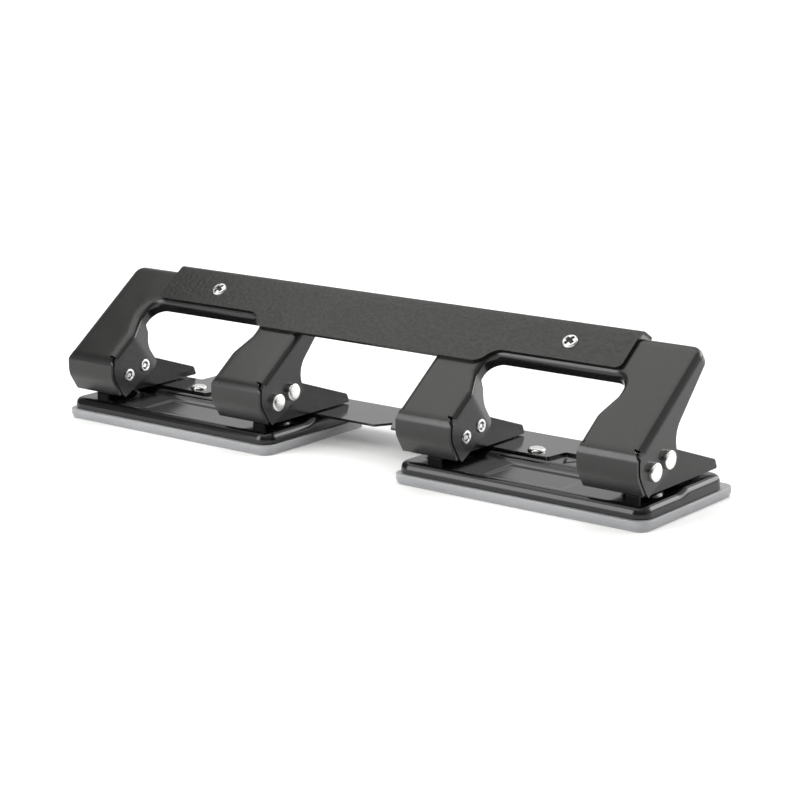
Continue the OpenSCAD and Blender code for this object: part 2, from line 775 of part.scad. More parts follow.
module bar_plan() {
    wide = bar_mid_half + bar_widen;
    polygon(rounded([[-bar_half, bar_low, bar_r], [-wide, bar_low, bar_curve_r],
        [-bar_mid_half, bar_mid_low, bar_curve_r], [bar_mid_half, bar_mid_low, bar_curve_r],
        [wide, bar_low, bar_curve_r], [bar_half, bar_low, bar_r],
        [bar_half, far, 0], [-bar_half, far, 0]]));
}

module tie_bar() {
    color([0.08, 0.08, 0.085]) in_frame() difference() {
        intersection() {
            along_x(-bar_half, bar_half) bar_side();
            face_frame() translate([0, 0, -far]) linear_extrude(2 * far) bar_plan();
        }
        for (i = [0, 1]) translate([unit_x(i) + screw_shift, 0, 0]) face_frame()
            translate([0, screw_s, -over]) cylinder(r = screw_d / 2 + shank_gap, h = 2 * over);
    }
}

module tie_screws() {
    color("silver") in_frame() for (i = [0, 1]) translate([unit_x(i) + screw_shift, 0, 0]) face_frame()
        translate([0, screw_s, 0]) difference() {
            union() {
                translate([0, 0, bar_t]) dome(screw_head_d, screw_head_h);
                translate([0, 0, -lever_t - nut_h]) cylinder(d = screw_d, h = lever_t + nut_h + bar_t);
            }
            for (turn = [0, 90]) rotate([0, 0, turn])
                translate([-cross_w / 2, -cross_len / 2, bar_t + screw_head_h / 2])
                    cube([cross_w, cross_len, screw_head_h]);
        }
}

module tie_nuts() {
    color("silver") in_frame() for (i = [0, 1]) translate([unit_x(i) + screw_shift, 0, 0]) face_frame()
        translate([0, screw_s, -lever_t - nut_h]) difference() {
            cylinder(d = nut_w / cos(30), h = nut_h, $fn = 6);
            translate([0, 0, -over]) cylinder(r = screw_d / 2 + shank_gap, h = nut_h + 2 * over);
        }
}

// Round-topped head of diameter d and height h, standing on its base
module dome(d, h) {
    rotate_extrude() polygon(rounded([[0, 0, 0], [d / 2, 0, 0], [d / 2, h, h * dome_share], [0, h, 0]]));
}

// Pins: a mushroom head outside the leg and a riveted ring inside it

module pin(k, at) {
    color("silver") in_frame() translate([unit_x(floor(k / 2)), 0, 0]) scale([side(k), 1, 1])
        translate([0, at[0], at[1]]) rotate([0, 90, 0]) difference() {
            union() {
                translate([0, 0, leg_in]) cylinder(d = pin_d, h = leg_w);
                translate([0, 0, leg_in - pin_ring_h]) cylinder(d = pin_ring_d, h = pin_ring_h);
                translate([0, 0, lever_half]) dome(pin_head_d, pin_head_h);
            }
            translate([0, 0, leg_in - over]) cylinder(d = pin_bore_d, h = 2 * over);
        }
}

// Cutter: a hollow-ended punch with a saddle for the drive pin and a groove for the clip

saddle_z = drive[1] - pin_d / 2 - saddle_floor_gap;
saddle_y = (min(drive[0], drive_end[0]) + drive_r - pivot_front) / 2;
clip_z = saddle_z - clip_drop - clip_t;
tip_z = slot_z + tip_rest;

module cutter(k) {
    hollow_r = (cutter_d * cutter_d / 4 + edge_hollow * edge_hollow) / (2 * edge_hollow);
    color("silver") in_frame() translate([hole_x(k), 0, 0]) difference() {
        translate([0, 0, tip_z]) cylinder(d = cutter_d, h = drive[1] + horn_h - tip_z);
        translate([-cutter_d, saddle_y - pin_d / 2 - saddle_gap, saddle_z])
            cube([2 * cutter_d, pin_d + 2 * saddle_gap, far]);
        rod_x(hollow_r, -cutter_d, cutter_d, [0, tip_z + edge_hollow - hollow_r]);
        translate([0, 0, clip_z - clip_gap]) difference() {
            cylinder(d = 2 * cutter_d, h = clip_t + 2 * clip_gap);
            cylinder(d = clip_groove_d, h = clip_t + 2 * clip_gap);
        }
    }
}

module spring_clip(k) {
    mouth = clip_groove_d + 2 * clip_gap;
    color("silver") in_frame() translate([hole_x(k), 0, clip_z]) difference() {
        cylinder(d = clip_d, h = clip_t);
        translate([0, 0, -over]) cylinder(d = mouth, h = 2 * over);
        translate([-mouth / 2, 0, -over]) cube([mouth, clip_d, 2 * over]);
    }
}

// Return spring: a conical coil between the bracket's floor and the clip

coil_rings = 8;
coil_sides = 6;
coil_low = guide_z + spring_gap + wire_d / 2;
coil_high = clip_z - spring_gap - wire_d / 2;
coil_count = spring_turns * coil_rings;

function coil_point(i, j) =
    let (share = i / coil_count, a = 360 * i / coil_rings, b = 360 * j / coil_sides,
        r = (spring_foot_d + (spring_top_d - spring_foot_d) * share + wire_d * cos(b)) / 2)
    [r * cos(a), r * sin(a), coil_low + (coil_high - coil_low) * share + wire_d / 2 * sin(b)];

coil_points = [for (i = [0 : coil_count], j = [0 : coil_sides - 1]) coil_point(i, j)];
coil_gap = min([for (i = [0 : coil_count - coil_rings + 1], m = [-1 : 1],
    j = [0 : coil_sides - 1], n = [0 : coil_sides - 1])
    norm(coil_point(i, j) - coil_point(min(i + coil_rings + m, coil_count), n))]);
echo(coil_gap = coil_gap);

module return_spring(k) {
    last = coil_count * coil_sides;
    sides = [for (i = [0 : coil_count - 1], j = [0 : coil_sides - 1])
        let (a = i * coil_sides + j, b = i * coil_sides + (j + 1) % coil_sides)
        each [[a, b, b + coil_sides], [a, b + coil_sides, a + coil_sides]]];
    caps = [for (j = [1 : coil_sides - 2]) each [[0, j + 1, j], [last, last + j, last + j + 1]]];
    color("gray") in_frame() translate([hole_x(k), 0, 0])
        polyhedron(points = coil_points, faces = concat(sides, caps));
}

// Paper table: one flat strip over both pans, riveted to each

table_end = (unit_pitch + hole_pitch) / 2 + sheet_over;
table_step = (unit_pitch + hole_pitch) / 2 - sheet_end_start;

function notch(x) = [[x - notch_w / 2, sheet_front, notch_r],
    [x - notch_w / 2 + notch_taper, sheet_front + notch_d, notch_r],
    [x + notch_w / 2 - notch_taper, sheet_front + notch_d, notch_r],
    [x + notch_w / 2, sheet_front, notch_r]];

module paper_table() {
    color([0.04, 0.04, 0.045]) in_frame() translate([0, 0, rear_z]) difference() {
        linear_extrude(sheet_t) polygon(rounded(concat([[-table_end, sheet_front, sheet_r]],
            notch(unit_x(0)), [[-middle_notch_w / 2, sheet_front, notch_r],
            [0, sheet_front + middle_notch_d, 0], [middle_notch_w / 2, sheet_front, notch_r]],
            notch(unit_x(1)), [[table_end, sheet_front, sheet_r],
            [table_end, sheet_end_rear, sheet_r], [table_step, sheet_end_rear, notch_r],
            [table_step, sheet_rear, sheet_r], [-table_step, sheet_rear, sheet_r],
            [-table_step, sheet_end_rear, notch_r], [-table_end, sheet_end_rear, sheet_r]])));
        for (i = [0, 1]) translate([unit_x(i) - rivet_x, rivet_y, -over])
            cylinder(r = rivet_d / 2 + shank_gap, h = sheet_t + 2 * over);
    }
}

module table_rivets() {
    tail_z = rear_z - pan_t;
    color("silver") in_frame() for (i = [0, 1]) translate([unit_x(i) - rivet_x, rivet_y, 0]) {
        translate([0, 0, sheet_z]) dome(rivet_head_d, rivet_head_h);
        translate([0, 0, tail_z]) cylinder(d = rivet_d, h = sheet_z - tail_z);
        translate([0, 0, tail_z - rivet_tail_h]) cylinder(d = rivet_d + rivet_tail_h, h = rivet_tail_h);
    }
}

chip_tray(0);  // chip_tray_left
chip_tray(1);  // chip_tray_right
base(0);  // base_left
base(1);  // base_right
punch_bracket(0);  // punch_bracket_1
punch_bracket(1);  // punch_bracket_2
punch_bracket(2);  // punch_bracket_3
punch_bracket(3);  // punch_bracket_4
lever(0);  // lever_left
lever(1);  // lever_right
tie_bar();
tie_screws();
tie_nuts();
pin(0, pivot);  // pivot_pin_1
pin(1, pivot);  // pivot_pin_2
pin(2, pivot);  // pivot_pin_3
pin(3, pivot);  // pivot_pin_4
pin(0, drive);  // drive_pin_1
pin(1, drive);  // drive_pin_2
pin(2, drive);  // drive_pin_3
pin(3, drive);  // drive_pin_4
cutter(0);  // cutter_1
cutter(1);  // cutter_2
cutter(2);  // cutter_3
cutter(3);  // cutter_4
spring_clip(0);  // spring_clip_1
spring_clip(1);  // spring_clip_2
spring_clip(2);  // spring_clip_3
spring_clip(3);  // spring_clip_4
return_spring(0);  // return_spring_1
return_spring(1);  // return_spring_2
return_spring(2);  // return_spring_3
return_spring(3);  // return_spring_4
paper_table();
table_rivets();
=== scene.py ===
import math

import bmesh
import bpy
import numpy as np
from mathutils import Matrix, Vector


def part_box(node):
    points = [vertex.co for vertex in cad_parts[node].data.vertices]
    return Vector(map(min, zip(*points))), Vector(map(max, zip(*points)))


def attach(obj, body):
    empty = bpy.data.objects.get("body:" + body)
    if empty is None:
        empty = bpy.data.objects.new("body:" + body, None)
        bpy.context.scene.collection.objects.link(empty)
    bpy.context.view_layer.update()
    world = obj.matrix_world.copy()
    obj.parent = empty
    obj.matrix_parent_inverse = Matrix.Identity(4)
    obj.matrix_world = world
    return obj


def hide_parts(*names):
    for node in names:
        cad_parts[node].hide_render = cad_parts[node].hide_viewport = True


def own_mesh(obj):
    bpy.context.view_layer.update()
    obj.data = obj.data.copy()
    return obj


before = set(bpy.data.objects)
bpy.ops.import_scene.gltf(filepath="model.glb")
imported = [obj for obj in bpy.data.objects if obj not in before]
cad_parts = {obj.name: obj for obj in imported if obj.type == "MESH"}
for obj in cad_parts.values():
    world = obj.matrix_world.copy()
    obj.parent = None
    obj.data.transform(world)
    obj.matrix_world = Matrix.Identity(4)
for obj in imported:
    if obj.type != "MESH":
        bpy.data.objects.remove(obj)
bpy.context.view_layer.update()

# Camera: a long lens a little above the table, to the right of the punch's front. Its
# place and turn come from the fit to points of the photograph.
azimuth, elevation, roll = math.radians(37.8), math.radians(13.31), math.radians(-0.11)
back = Vector((math.sin(azimuth) * math.cos(elevation), -math.cos(azimuth) * math.cos(elevation),
               math.sin(elevation)))
level = Vector((math.cos(azimuth), math.sin(azimuth), 0))
up = back.cross(level)
right, up = (level * math.cos(roll) + up * math.sin(roll), up * math.cos(roll) - level * math.sin(roll))
lens = bpy.data.cameras.new("camera")
lens.sensor_width = 36
lens.lens = 101.208
lens.clip_start = 0.05
lens.clip_end = 20
camera = bpy.data.objects.new("camera", lens)
bpy.context.collection.objects.link(camera)
camera.matrix_world = Matrix.Translation(Vector((0.00399, 0.0079, 0.01915)) + back * 0.81988) @ \
    Matrix((right, up, back)).transposed().to_4x4()
bpy.context.scene.camera = camera
bpy.context.scene.view_settings.view_transform = "Standard"

# Chip trays: two flat boxes of milky plastic, each moulded in one piece with a ledge
# round its rim and a thin lip that grips inside the pan above it. They hold the
# punched chips and pull straight off.
def new_material(name, color, roughness, metallic=0.0):
    """A principled material whose fixed values sit on the shader's own sockets."""
    m = bpy.data.materials.new(name)
    m.use_nodes = True
    p = m.node_tree.nodes["Principled BSDF"]
    p.inputs["Base Color"].default_value = (*color, 1)
    p.inputs["Roughness"].default_value = roughness
    p.inputs["Metallic"].default_value = metallic
    return m, m.node_tree, p


def add_noise(tree, scale, detail=3.0):
    """A noise texture in metres on the object's own coordinates."""
    coordinates = tree.nodes.new("ShaderNodeTexCoord")
    noise = tree.nodes.new("ShaderNodeTexNoise")
    noise.inputs["Scale"].default_value = scale
    noise.inputs["Detail"].default_value = detail
    tree.links.new(coordinates.outputs["Object"], noise.inputs["Vector"])
    return noise


def drive_range(tree, noise, low, high, socket):
    """Links a noise to a socket, spread over a range of values."""
    spread = tree.nodes.new("ShaderNodeMapRange")
    spread.inputs["From Min"].default_value = 0.3
    spread.inputs["From Max"].default_value = 0.7
    spread.inputs["To Min"].default_value = low
    spread.inputs["To Max"].default_value = high
    tree.links.new(noise.outputs["Fac"], spread.inputs["Value"])
    tree.links.new(spread.outputs["Result"], socket)


def add_bump(tree, shader, noise, strength, distance):
    """Bumps a shader's surface by a noise, distance being its height in metres."""
    bump = tree.nodes.new("ShaderNodeBump")
    bump.inputs["Strength"].default_value = strength
    bump.inputs["Distance"].default_value = distance
    tree.links.new(noise.outputs["Fac"], bump.inputs["Height"])
    tree.links.new(bump.outputs["Normal"], shader.inputs["Normal"])


# A millimetre in Blender's metres
MM = 0.001


def add_piece(name, grids, material, body, nodes, outward=None, keep=None, sharp=40):
    """Joins grids of points (rows, columns, x y z in mm) into one mesh of quads.

    Neighbouring points of a grid make a quad; equal points of all the grids are merged.
    keep, where given, says from a quad's four corners which quads stay. outward is a
    direction that the surface's first quads face.
    """
    corners, quads, start = [], [], 0
    for grid in grids:
        rows, columns = grid.shape[:2]
        index = np.arange(rows * columns).reshape(rows, columns) + start
        around = (index[:-1, :-1], index[1:, :-1], index[1:, 1:], index[:-1, 1:])
        quads.append(np.stack(around, -1).reshape(-1, 4))
        corners.append(grid.reshape(-1, 3))
        start += rows * columns
    corners, quads = np.concatenate(corners), np.concatenate(quads)
    if keep is not None:
        quads = quads[keep(corners[quads])]
    mesh = bpy.data.meshes.new(name)
    mesh.from_pydata((corners * MM).tolist(), [], quads.tolist())
    work = bmesh.new()
    work.from_mesh(mesh)
    bmesh.ops.remove_doubles(work, verts=work.verts, dist=2e-6)
    bmesh.ops.dissolve_degenerate(work, edges=work.edges, dist=1e-6)
    bmesh.ops.delete(work, geom=[v for v in work.verts if not v.link_faces], context="VERTS")
    bmesh.ops.recalc_face_normals(work, faces=work.faces)
    if outward is not None:
        work.faces.ensure_lookup_table()
        if work.faces[0].normal.dot(Vector(outward)) < 0:
            bmesh.ops.reverse_faces(work, faces=work.faces)
    work.to_mesh(mesh)
    work.free()
    mesh.shade_smooth()
    mesh.set_sharp_from_angle(angle=math.radians(sharp))
    mesh.materials.append(material)
    piece = bpy.data.objects.new(name, mesh)
    bpy.context.collection.objects.link(piece)
    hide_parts(*nodes)
    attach(piece, body)
    return piece


def ring(half_x, y0, y1, r, side=24, end=16, turn=8):
    """A closed row of points round a rectangle with rounded corners.

    Four straight runs of evenly spaced points, joined by four quarter circles of radius r.
    """
    r = max(r, 0.01)
    t, e = np.arange(side)[:, None] / side, np.arange(end)[:, None] / end
    a = np.arange(turn) / turn * math.pi / 2
    runs = []
    for k, (cx, cy, nx, ny) in enumerate(((half_x - r, y0 + r, half_x - r, y1 - r),
                                          (half_x - r, y1 - r, -half_x + r, y1 - r),
                                          (-half_x + r, y1 - r, -half_x + r, y0 + r),
                                          (-half_x + r, y0 + r, half_x - r, y0 + r))):
        b = a + (k - 1) * math.pi / 2
        arc = np.stack([cx + r * np.cos(b), cy + r * np.sin(b)], -1)
        first = np.array([cx + r * math.cos(k * math.pi / 2), cy + r * math.sin(k * math.pi / 2)])
        last = np.array([nx + r * math.cos(k * math.pi / 2), ny + r * math.sin(k * math.pi / 2)])
        runs += [arc, first + (last - first) * (e if k % 2 == 0 else t)]
    row = np.concatenate(runs)
    return np.concatenate([row, row[:1]])


# In mm: the hole line's place in front of the object's middle, the two units' places to
# the left and right of it, and their holes' places beside each unit's own middle
HOLE_LINE = -12.0
UNIT_X = 80
HOLE_X = 40


def at_unit(side, row, z):
    """A row of plan points of one punch, moved to its side of the set at height z."""
    z = np.broadcast_to(z, row.shape[:1])
    return np.stack([row[:, 0] + side * UNIT_X, row[:, 1] + HOLE_LINE, z], -1)


tray_plastic, tree, shader = new_material("tray_plastic", (0.42, 0.425, 0.44), 0.35)
shader.inputs["Transmission Weight"].default_value = 0.25
shader.inputs["IOR"].default_value = 1.46
shader.inputs["Subsurface Weight"].default_value = 0.25
shader.inputs["Subsurface Radius"].default_value = (0.004, 0.004, 0.004)
drive_range(tree, add_noise(tree, 120), 0.32, 0.42, shader.inputs["Roughness"])
add_bump(tree, shader, add_noise(tree, 2500, 2), 0.04, 0.00005)

quarter = np.linspace(0, math.pi / 2, 6)
# Rings of the tray as (inset, height): underside and rim, then the lip and the inside
tray_rim = [(29, 0), (8, 0)] + \
    [(0.5 + 0.6 * (1 - math.sin(a)), 0.6 * (1 - math.cos(a))) for a in quarter] + \
    [(0.5, 1.05), (0.5, 1.2), (0.44, 1.3), (0.1, 1.36), (0, 1.46), (0, 3.0)] + \
    [(0.35 * (1 - math.cos(a)), 3.35 + 0.35 * math.sin(a)) for a in quarter] + [(0.8, 3.7)]
tray_lip = [(2.4, 3.7), (3.45, 3.7), (3.55, 3.8), (3.55, 4.6), (3.55, 5.6), (3.62, 5.75),
            (3.75, 5.8), (4.55, 5.8), (4.68, 5.75), (4.75, 5.6), (4.75, 3.5), (4.75, 1.7),
            (4.9, 1.35), (5.25, 1.2), (12, 1.2), (25.9, 1.2)]
for side, word in ((-1, "left"), (1, "right")):
    rows = [at_unit(side, ring(51.5 - i, -17.1 + i, 41.9 - i, 4.5 - i), z) for i, z in tray_rim] + \
        [at_unit(side, ring(50.6 - i, -15.7 + i, 36.3 - i, 5 - i), z) for i, z in tray_lip]
    add_piece("tray_" + word, [np.array(rows)], tray_plastic, "tray_" + word,
              ["chip_tray_" + word], sharp=50)

# Base pans: black enamelled steel sheet, deep-drawn with a nearly upright skirt, a soft
# shoulder, a shallow paper recess in front, and a rise to the rear table. The two
# holes of each are punched through raised pads.
gloss_black, tree, shader = new_material("gloss_black", (0.004, 0.004, 0.0043), 0.16)
shader.inputs["Specular IOR Level"].default_value = 0.42
drive_range(tree, add_noise(tree, 60), 0.14, 0.18, shader.inputs["Roughness"])
add_bump(tree, shader, add_noise(tree, 500, 2), 0.03, 0.0001)


def soft_step(t):
    """Rises from 0 to 1 with level ends: 3t^2 - 2t^3 of t held between 0 and 1."""
    t = np.clip(t, 0, 1)
    return t * t * (3 - 2 * t)


def pan_top(x, y):
    """Height of the pan over the resting face at a place, from the holes' line.

    The front table, plus a soft rise to the rear table, less the recess's bevelled
    dish; then the higher of that and the two die pads' cones; less the two short
    grooves of the centre mark.
    """
    z = 7.9 + 1.05 * soft_step((y - 6.6) / 6.4)
    edge = np.minimum(np.minimum(x + 16, 16 - x), np.minimum(y + 11.6, 5.2 - y))
    z = z - 0.45 * soft_step(edge / 1.5)
    r = np.hypot(np.abs(x) - HOLE_X, y)
    z = np.where(r < 7.3, np.maximum(z, 7.9 + 1.6 * soft_step((7.3 - r) / 1.4)), z)
    groove_x, groove_y = math.sin(math.radians(28)), math.cos(math.radians(28))
    along = np.clip(np.abs(x) * groove_x + (y - 13.7) * groove_y, 0, 6)
    off = np.hypot(np.abs(x) - along * groove_x, y - 13.7 - along * groove_y)
    return z - 0.7 * soft_step((0.5 - off) / 0.35)


DIE_R = 3.06


def pan_row(inset, drop=None, z=None):
    """One ring of the pan: at a plain height z, or drop below its top surface.

    Points near a die hole's edge are moved along their radius onto that edge.
    """
    row = ring(50.6 - inset, -15.7 + inset, 36.3 - inset, 5 - inset, side=210, end=104, turn=10)
    r = np.hypot(np.abs(row[:, 0]) - HOLE_X, row[:, 1])
    near = np.abs(r - DIE_R) < 0.3
    centre = np.sign(row[:, 0]) * HOLE_X
    shift = np.where(near, DIE_R / np.maximum(r, 0.1), 1)
    row = np.stack([centre + (row[:, 0] - centre) * shift, row[:, 1] * shift], -1)
    return row, (z if drop is None else pan_top(row[:, 0], row[:, 1]) - drop)


def off_holes(corners):
    """Keeps the quads that have no corner inside a die hole."""
    x = np.abs(np.abs(corners[..., 0]) - UNIT_X)
    return ~np.any(np.hypot(x - HOLE_X, corners[..., 1] - HOLE_LINE) < DIE_R - 0.01, axis=1)


# Rings of the pan from its foot inwards: (inset, height), then (inset, drop below the
# top), then the insets of the top itself
skirt = [(0, 4.0), (0.03, 4.15), (0.05, 4.6), (0.08, 5.1)]
shoulder = [(0.12, 2.45), (0.18, 2.1), (0.28, 1.75), (0.42, 1.4), (0.6, 1.05), (0.82, 0.75),
            (1.1, 0.48), (1.45, 0.26), (1.9, 0.1), (2.4, 0.02), (3.0, 0), (3.4, 0)]
inner = np.concatenate([np.arange(3.8, 10.6, 0.4), np.arange(10.6, 25.9, 0.42)])
for side, word in ((-1, "left"), (1, "right")):
    rows = [at_unit(side, *pan_row(i, z=z)) for i, z in skirt] + \
        [at_unit(side, *pan_row(i, drop=d)) for i, d in shoulder] + \
        [at_unit(side, *pan_row(i, drop=0)) for i in inner]
    pan = add_piece("pan_" + word, [np.array(rows)], gloss_black, "punch_base",
                    ["base_" + word], outward=(0, -1, 0.2), keep=off_holes, sharp=60)
    sheet = pan.modifiers.new("sheet", "SOLIDIFY")
    sheet.thickness, sheet.offset = 0.0009, -1

# Paper table: one flat black strip over both pans that the sheets lie on, notched over
# each centre mark and riveted to both pans
table_black, tree, shader = new_material("table_black", (0.01, 0.0097, 0.0097), 0.13)
shader.inputs["Specular IOR Level"].default_value = 0.8
drive_range(tree, add_noise(tree, 80), 0.11, 0.15, shader.inputs["Roughness"])
add_bump(tree, shader, add_noise(tree, 600, 2), 0.06, 0.0001)
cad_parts["paper_table"].material_slots[0].material = table_black

# Punch brackets: four folded channels of satin black sheet that guide the cutters and
# reach back over the paper. Their front tabs get painted shade: their shine is cut to 12
# percent where the legs' shadow falls on them.
def satin_paint(name, grain, shine, shade=0.0085):
    """Satin black stove paint whose orange-peel grain is about 1.2 mm across.

    grain is the bump's strength and spreads the gloss, shine, by 22 percent of it.
    """
    paint, tree, shader = new_material(name, (shade, shade, shade * 0.98), 0.24)
    drive_range(tree, add_noise(tree, 90), 0.21, 0.27, shader.inputs["Roughness"])
    peel = add_noise(tree, 800, 1.5)
    add_bump(tree, shader, peel, grain, 0.0001)
    spread = 0.22 * grain
    drive_range(tree, peel, shine * (1 - spread), shine * (1 + spread),
                shader.inputs["Specular IOR Level"])
    return paint


satin_black = satin_paint("satin_black", 0.2, 0.46)
bracket_black = satin_paint("bracket_black", 0.3, 0.3, 0.004)
tree = bracket_black.node_tree
apart = tree.nodes.new("ShaderNodeSeparateXYZ")
tree.links.new(tree.nodes["Texture Coordinate"].outputs["Object"], apart.inputs[0])
# Painted shade: the brackets' shine falls to 12 percent more than 23.8 mm in front of the middle, for the
# legs' shadow on the front tabs
tab_shade_mask = tree.nodes.new("ShaderNodeMapRange")
tab_shade_mask.inputs["From Min"].default_value = -0.0238
tab_shade_mask.inputs["From Max"].default_value = -0.0225
tab_shade_mask.inputs["To Min"].default_value = 0.12
tree.links.new(apart.outputs["Y"], tab_shade_mask.inputs["Value"])
painted_tab_shade = tree.nodes.new("ShaderNodeMath")
painted_tab_shade.operation = "MULTIPLY"
shine = tree.nodes["Principled BSDF"].inputs["Specular IOR Level"]
tree.links.new(shine.links[0].from_socket, painted_tab_shade.inputs[0])
tree.links.new(tab_shade_mask.outputs["Result"], painted_tab_shade.inputs[1])
tree.links.new(painted_tab_shade.outputs["Value"], shine)
for number in (1, 2, 3, 4):
    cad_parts[f"punch_bracket_{number}"].material_slots[0].material = bracket_black

# Levers: each one pressed shell of satin black sheet, folded down round its outside
# and flanged round the finger window. Its two legs bend into a curved skirt whose
# side edges stand open in front of the flanges.

# In side view the face leans back by TILT, and FACE_UP and FACE_IN run up it and into it.
# FOOT is on the face's line, 5.6 below the pivot along it and 11.1 in front of it, in mm.
TILT = math.radians(36.6)
SHEET = 1.2
FACE_UP = np.array([math.cos(TILT), math.sin(TILT)])
FACE_IN = np.array([math.sin(TILT), -math.cos(TILT)])
PIVOT = np.array([-8.7, 18.7])
FOOT = PIVOT - 5.6 * FACE_UP - 11.1 * FACE_IN
BEND_S = (PIVOT[0] - 9.2 - FOOT[0]) / FACE_UP[0]


def on_face(s, depth):
    """Side-view point s up the lever's face and depth behind it, from the holes' line."""
    s, depth = np.asarray(s, float), np.asarray(depth, float)
    return FOOT + s[..., None] * FACE_UP + depth[..., None] * FACE_IN


def outline(points, steps=10):
    """An open path through points (u, v, radius) whose corners are quarter-like arcs.

    Each inner corner is replaced by the circle of its radius that touches both edges.
    """
    path = [np.array(points[0][:2], float)[None]]
    for before, here, after in zip(points, points[1:], points[2:]):
        a, b, c = (np.array(p[:2], float) for p in (before, here, after))
        u, v = (a - b) / np.linalg.norm(a - b), (c - b) / np.linalg.norm(c - b)
        r = here[2]
        if r <= 0:
            path.append(b[None])
            continue
        half = math.acos(float(np.clip(u @ v, -1, 1))) / 2
        centre = b + (u + v) / np.linalg.norm(u + v) * r / math.sin(half)
        first, last = b + u * r / math.tan(half) - centre, b + v * r / math.tan(half) - centre
        turn = math.atan2(first[0] * last[1] - first[1] * last[0], first @ last)
        angle = math.atan2(first[1], first[0]) + turn * np.linspace(0, 1, steps + 1)
        path.append(centre + r * np.stack([np.cos(angle), np.sin(angle)], -1))
    path.append(np.array(points[-1][:2], float)[None])
    return np.concatenate(path)


def spaced(path, count):
    """The same path as count points, evenly spaced along its length."""
    length = np.concatenate([[0], np.cumsum(np.linalg.norm(np.diff(path, axis=0), axis=1))])
    at = np.linspace(0, length[-1], count)
    return np.stack([np.interp(at, length, path[:, k]) for k in (0, 1)], -1)


def corner_in(a, b, c, t):
    """Corner b of the path a-b-c moved inwards by t from both edges."""
    u, v = (a - b) / np.linalg.norm(a - b), (c - b) / np.linalg.norm(c - b)
    half = math.acos(float(u @ v)) / 2
    return b + (u + v) / np.linalg.norm(u + v) * t / math.sin(half)


def to_space(x, side_points):
    """Points from an x and a side-view place (y from the holes' line, z)."""
    x = np.broadcast_to(x, side_points.shape[:-1])
    return np.stack([x, side_points[..., 0] + HOLE_LINE, side_points[..., 1]], -1)


RIDGE = on_face(52.3, 0)
BEND = on_face(BEND_S, 0)
KNEE = BEND - np.array([0, 7.5])
DOWN = np.array([math.sin(math.radians(32)), -math.cos(math.radians(32))])
SKIRT_END = KNEE + 8.1 * DOWN
INWARD = np.array([-DOWN[1], DOWN[0]])
BEND_R, KNEE_R = 5.5, 8
BEND_START = BEND_S + BEND_R * math.tan((math.pi / 2 - TILT) / 2)
RIM_R, FOLD_R = 2.6, 3
WINDOW_X, LEG_X = -25.3, -49.1

# Plan paths, seen square on to the face: the window's edge and the lever's outside,
# each as left leg, left corner and left half of the top, in (x, s)
window_leg = outline([(WINDOW_X, BEND_START), (WINDOW_X, 17, 6), (-28.7, 26, 6), (-28.7, 28.7)])
window_turn = outline([(-28.7, 28.7), (-28.7, 34.7, 6), (-22.7, 34.7)])[1:-1]
outer_turn = outline([(LEG_X, 47.8), (LEG_X, 52.3, 4.5), (-44.6, 52.3)])[1:-1]
LEG, TURN, TOP = 72, 15, 9
rim = np.concatenate([spaced(window_leg, LEG), spaced(window_turn, TURN)[1:],
                      np.stack([np.linspace(-22.7, 0, TOP), np.full(TOP, 34.7)], -1)[1:]])
outside = np.concatenate([np.stack([np.full(LEG, LEG_X), np.linspace(BEND_START, 47.8, LEG)], -1),
                          spaced(outer_turn, TURN)[1:],
                          np.stack([np.linspace(-44.6, 0, TOP), np.full(TOP, 52.3)], -1)[1:]])


def path_normal(path):
    """Unit vectors square to a path, on its left as it runs."""
    d = np.gradient(path, axis=0)
    d[-1] = (1, 0)
    d /= np.linalg.norm(d, axis=1)[:, None]
    return np.stack([-d[:, 1], d[:, 0]], -1)


# The flanges' lower corner by the skirt, in (s, depth)
HEEL = (-1.1, 16.4)


def flange_edge(mid_s, mid_r, tail):
    """Free edge of a side flange in (s, depth): along the bottom, up its rear, to the top."""
    low = spaced(outline([HEEL, (mid_s, 19.4, 1), (mid_s, 18.0)]), LEG // 3)
    up = spaced(outline([(mid_s, 18.0), (mid_s, 11.1, mid_r)] + tail), LEG - LEG // 3 + 1)[1:]
    return np.concatenate([low, up])


rim_normal, out_normal = path_normal(rim), path_normal(outside)
wall_edge = flange_edge(20.7, 5, [(25.4, 8.4, 1), (26.6, 5.3, 0.8), (28.7, 5.3)])
flange_free = flange_edge(19.7, 9, [(47.8, 11.1 - 6.1 * 28.1 / 32.6)])

# Number of strips across the flat face, and the steps down a flange as shares of it
FACE = 8
FLANGE_STEPS = np.concatenate([[0, 0.04], np.linspace(0.15, 1, 8)])


def face_points(plan, depth):
    """Space points from plan places (x, s) and depths behind the lever's face."""
    return to_space(plan[..., 0], on_face(plan[..., 1], depth))


